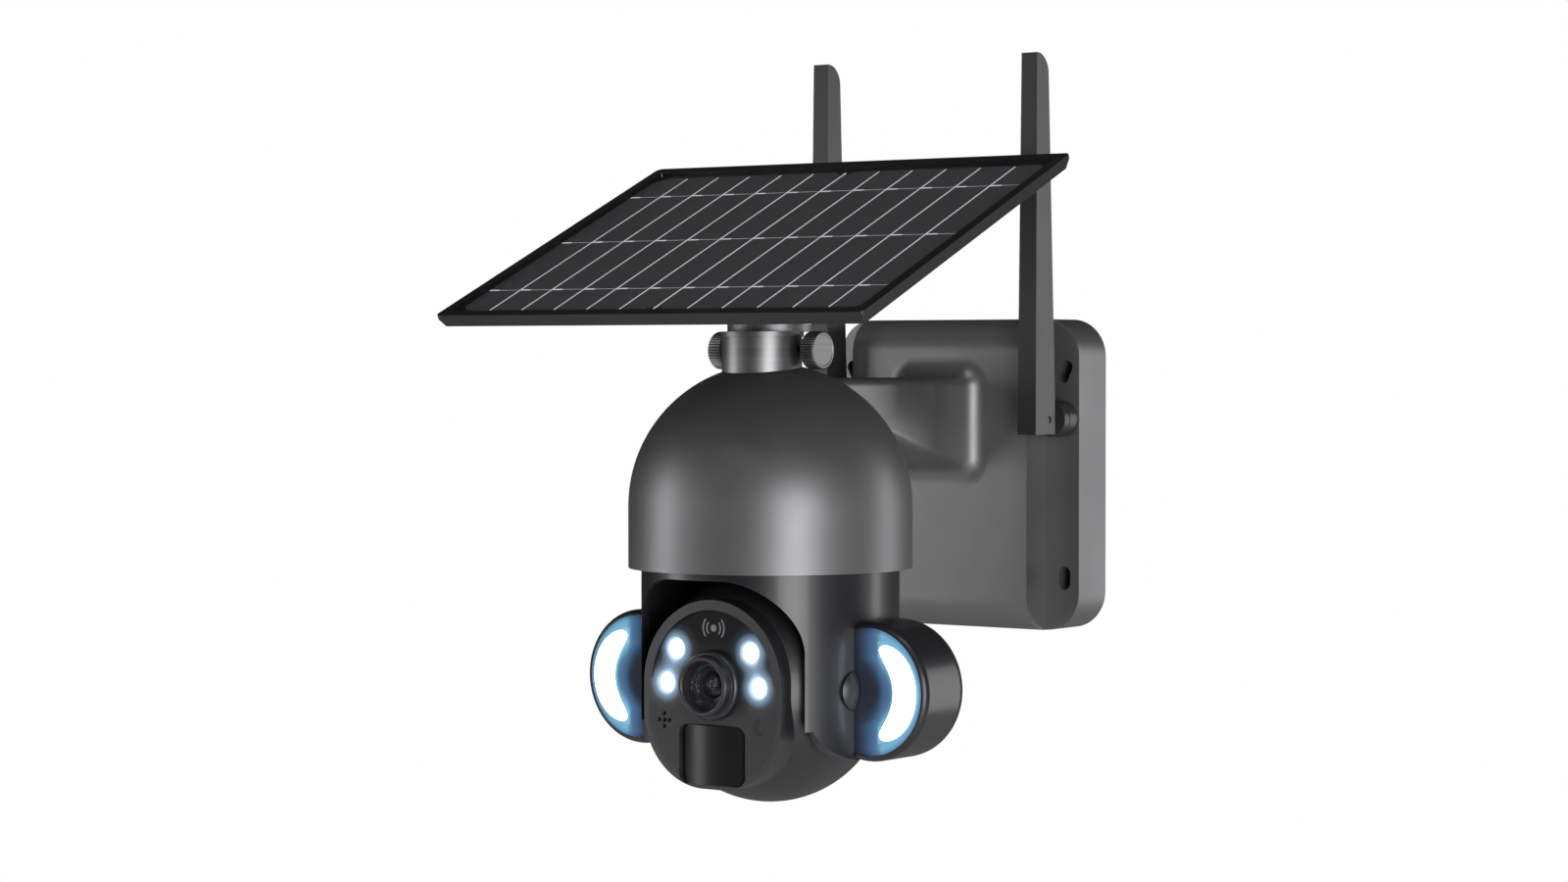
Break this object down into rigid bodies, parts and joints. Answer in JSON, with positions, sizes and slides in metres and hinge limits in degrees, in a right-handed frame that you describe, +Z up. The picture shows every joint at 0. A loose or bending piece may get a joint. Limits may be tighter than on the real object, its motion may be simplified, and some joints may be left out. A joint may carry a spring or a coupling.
{
  "type": "security camera",
  "caption": "Solar-powered pan-and-tilt security camera on a wall arm, with a tilting panel, side floodlights and two folding antennas.",
  "frame": {"origin": "Centre of the wall plate's back face, on the wall, in the middle of the screw pattern.", "axes": "+Z is up, +Y goes into the wall, so the camera looks along -Y, and +X is to the right as seen from in front of the camera."},
  "size_m": [0.2184, 0.2564, 0.321],
  "materials": {
    "case_plastic": "satin gunmetal grey moulded plastic",
    "rubber_seal": "black silicone seal",
    "steel_screw": "bright zinc-plated steel",
    "cell_wrap": "shrink-wrapped cylindrical cells",
    "inner_plastic": "plain moulded plastic inside",
    "circuit_board": "green solder mask over glass-fibre board",
    "motor_metal": "plated steel can",
    "gear_plastic": "natural acetal",
    "head_plastic": "near-black glossy moulded plastic",
    "speaker_black": "black paper-cone speaker",
    "window_plastic": "dark smooth plastic windows and face",
    "light_diffuser": "milky diffuser, lit cold white",
    "lens_black": "black anodised-look lens barrel",
    "lens_glass": "coated glass",
    "neck_metal": "satin silver aluminium",
    "panel_frame": "black satin frame",
    "solar_cell": "monocrystalline cells with fine silver lines",
    "panel_glass": "clear laminate",
    "antenna_rubber": "black satin moulded antenna"
  },
  "bodies": {
    "wall_base": {"back_plate": "case_plastic", "case_shell": "case_plastic", "case_seal": "rubber_seal", "case_screws": "steel_screw", "battery_cells": "cell_wrap", "battery_tray": "inner_plastic", "charge_board": "circuit_board", "arm": "case_plastic", "arm_screws": "steel_screw", "dome_cover": "case_plastic", "deck": "inner_plastic", "dome_screws": "steel_screw", "main_board": "circuit_board", "pan_motor": "motor_metal", "pan_bush": "gear_plastic", "antenna_sockets": "antenna_rubber"},
    "pan_drive": {"pan_pinion": "gear_plastic"},
    "pan_head": {"pan_body": "head_plastic", "pan_hub": "inner_plastic", "pan_gear": "gear_plastic", "hub_screws": "steel_screw", "cheek_covers": "head_plastic", "cheek_screws": "steel_screw", "tilt_axles": "motor_metal", "tilt_gear": "gear_plastic", "speaker": "speaker_black", "floodlight_housing_left": "head_plastic", "floodlight_housing_right": "head_plastic", "floodlight_windows": "window_plastic", "floodlight_diffusers": "light_diffuser", "floodlight_boards": "inner_plastic", "side_caps": "head_plastic"},
    "camera_ball": {"ball_front": "head_plastic", "ball_rear": "head_plastic", "ball_screws": "steel_screw", "tilt_bushes": "gear_plastic", "face_plate": "window_plastic", "lens_barrel": "lens_black", "lens_glass": "lens_glass", "sensor_board": "circuit_board", "led_lenses": "light_diffuser", "motion_window": "window_plastic", "motion_sensor": "motor_metal", "tilt_motor": "motor_metal", "card_cover": "head_plastic"},
    "tilt_drive": {"tilt_pinion": "gear_plastic"},
    "panel_neck": {"neck_sleeve": "neck_metal", "panel_fork": "head_plastic", "hinge_pin": "steel_screw"},
    "neck_screw_left": {"thumb_screw_left": "neck_metal"},
    "neck_screw_right": {"thumb_screw_right": "neck_metal"},
    "solar_panel": {"panel_frame": "panel_frame", "solar_cells": "solar_cell", "panel_glass": "panel_glass", "junction_box": "head_plastic", "panel_lug": "head_plastic"},
    "knuckle_left": {"antenna_knuckle_left": "antenna_rubber"},
    "knuckle_right": {"antenna_knuckle_right": "antenna_rubber"},
    "blade_left": {"antenna_blade_left": "antenna_rubber"},
    "blade_right": {"antenna_blade_right": "antenna_rubber"}
  },
  "joints": [
    {"name": "pan", "type": "hinge", "parent": "wall_base", "child": "pan_head", "pos_m": [0, -0.167, -0.0855], "axis": [0, 0, 1], "range_deg": [-175, 175]},
    {"name": "tilt", "type": "hinge", "parent": "pan_head", "child": "camera_ball", "pos_m": [0, -0.167, -0.0855], "axis": [1, 0, 0], "range_deg": [-12, 85]},
    {"name": "pan_pinion_spin", "type": "hinge", "parent": "wall_base", "child": "pan_drive", "pos_m": [-0.036, -0.167, -0.02], "axis": [0, 0, 1], "range_deg": [-880, 880]},
    {"name": "tilt_pinion_spin", "type": "hinge", "parent": "camera_ball", "child": "tilt_drive", "pos_m": [0.033, -0.1478, -0.0855], "axis": [1, 0, 0], "range_deg": [-40, 260]},
    {"name": "panel_swivel", "type": "hinge", "parent": "wall_base", "child": "panel_neck", "pos_m": [0, -0.167, 0.055], "axis": [0, 0, 1], "range_deg": [-20, 20]},
    {"name": "panel_tilt", "type": "hinge", "parent": "panel_neck", "child": "solar_panel", "pos_m": [0, -0.167, 0.09], "axis": [1, 0, 0], "range_deg": [-24, 26]},
    {"name": "neck_screw_left_turn", "type": "hinge", "parent": "panel_neck", "child": "neck_screw_left", "pos_m": [-0.025, -0.167, 0.0554], "axis": [1, 0, 0], "continuous": true},
    {"name": "neck_screw_right_turn", "type": "hinge", "parent": "panel_neck", "child": "neck_screw_right", "pos_m": [0.025, -0.167, 0.0554], "axis": [1, 0, 0], "continuous": true},
    {"name": "antenna_swivel_left", "type": "hinge", "parent": "wall_base", "child": "knuckle_left", "pos_m": [-0.056, -0.032, 0.025], "axis": [0, 1, 0], "range_deg": [-170, 0]},
    {"name": "antenna_swivel_right", "type": "hinge", "parent": "wall_base", "child": "knuckle_right", "pos_m": [0.056, -0.032, 0.025], "axis": [0, 1, 0], "range_deg": [0, 170]},
    {"name": "antenna_fold_left", "type": "hinge", "parent": "knuckle_left", "child": "blade_left", "pos_m": [-0.056, -0.042, 0.025], "axis": [1, 0, 0], "range_deg": [0, 12]},
    {"name": "antenna_fold_right", "type": "hinge", "parent": "knuckle_right", "child": "blade_right", "pos_m": [0.056, -0.042, 0.025], "axis": [1, 0, 0], "range_deg": [0, 12]}
  ],
  "couplings": [
    {"joint": "pan_pinion_spin", "follows": "pan", "ratio": -5},
    {"joint": "tilt_pinion_spin", "follows": "tilt", "ratio": 3}
  ]
}
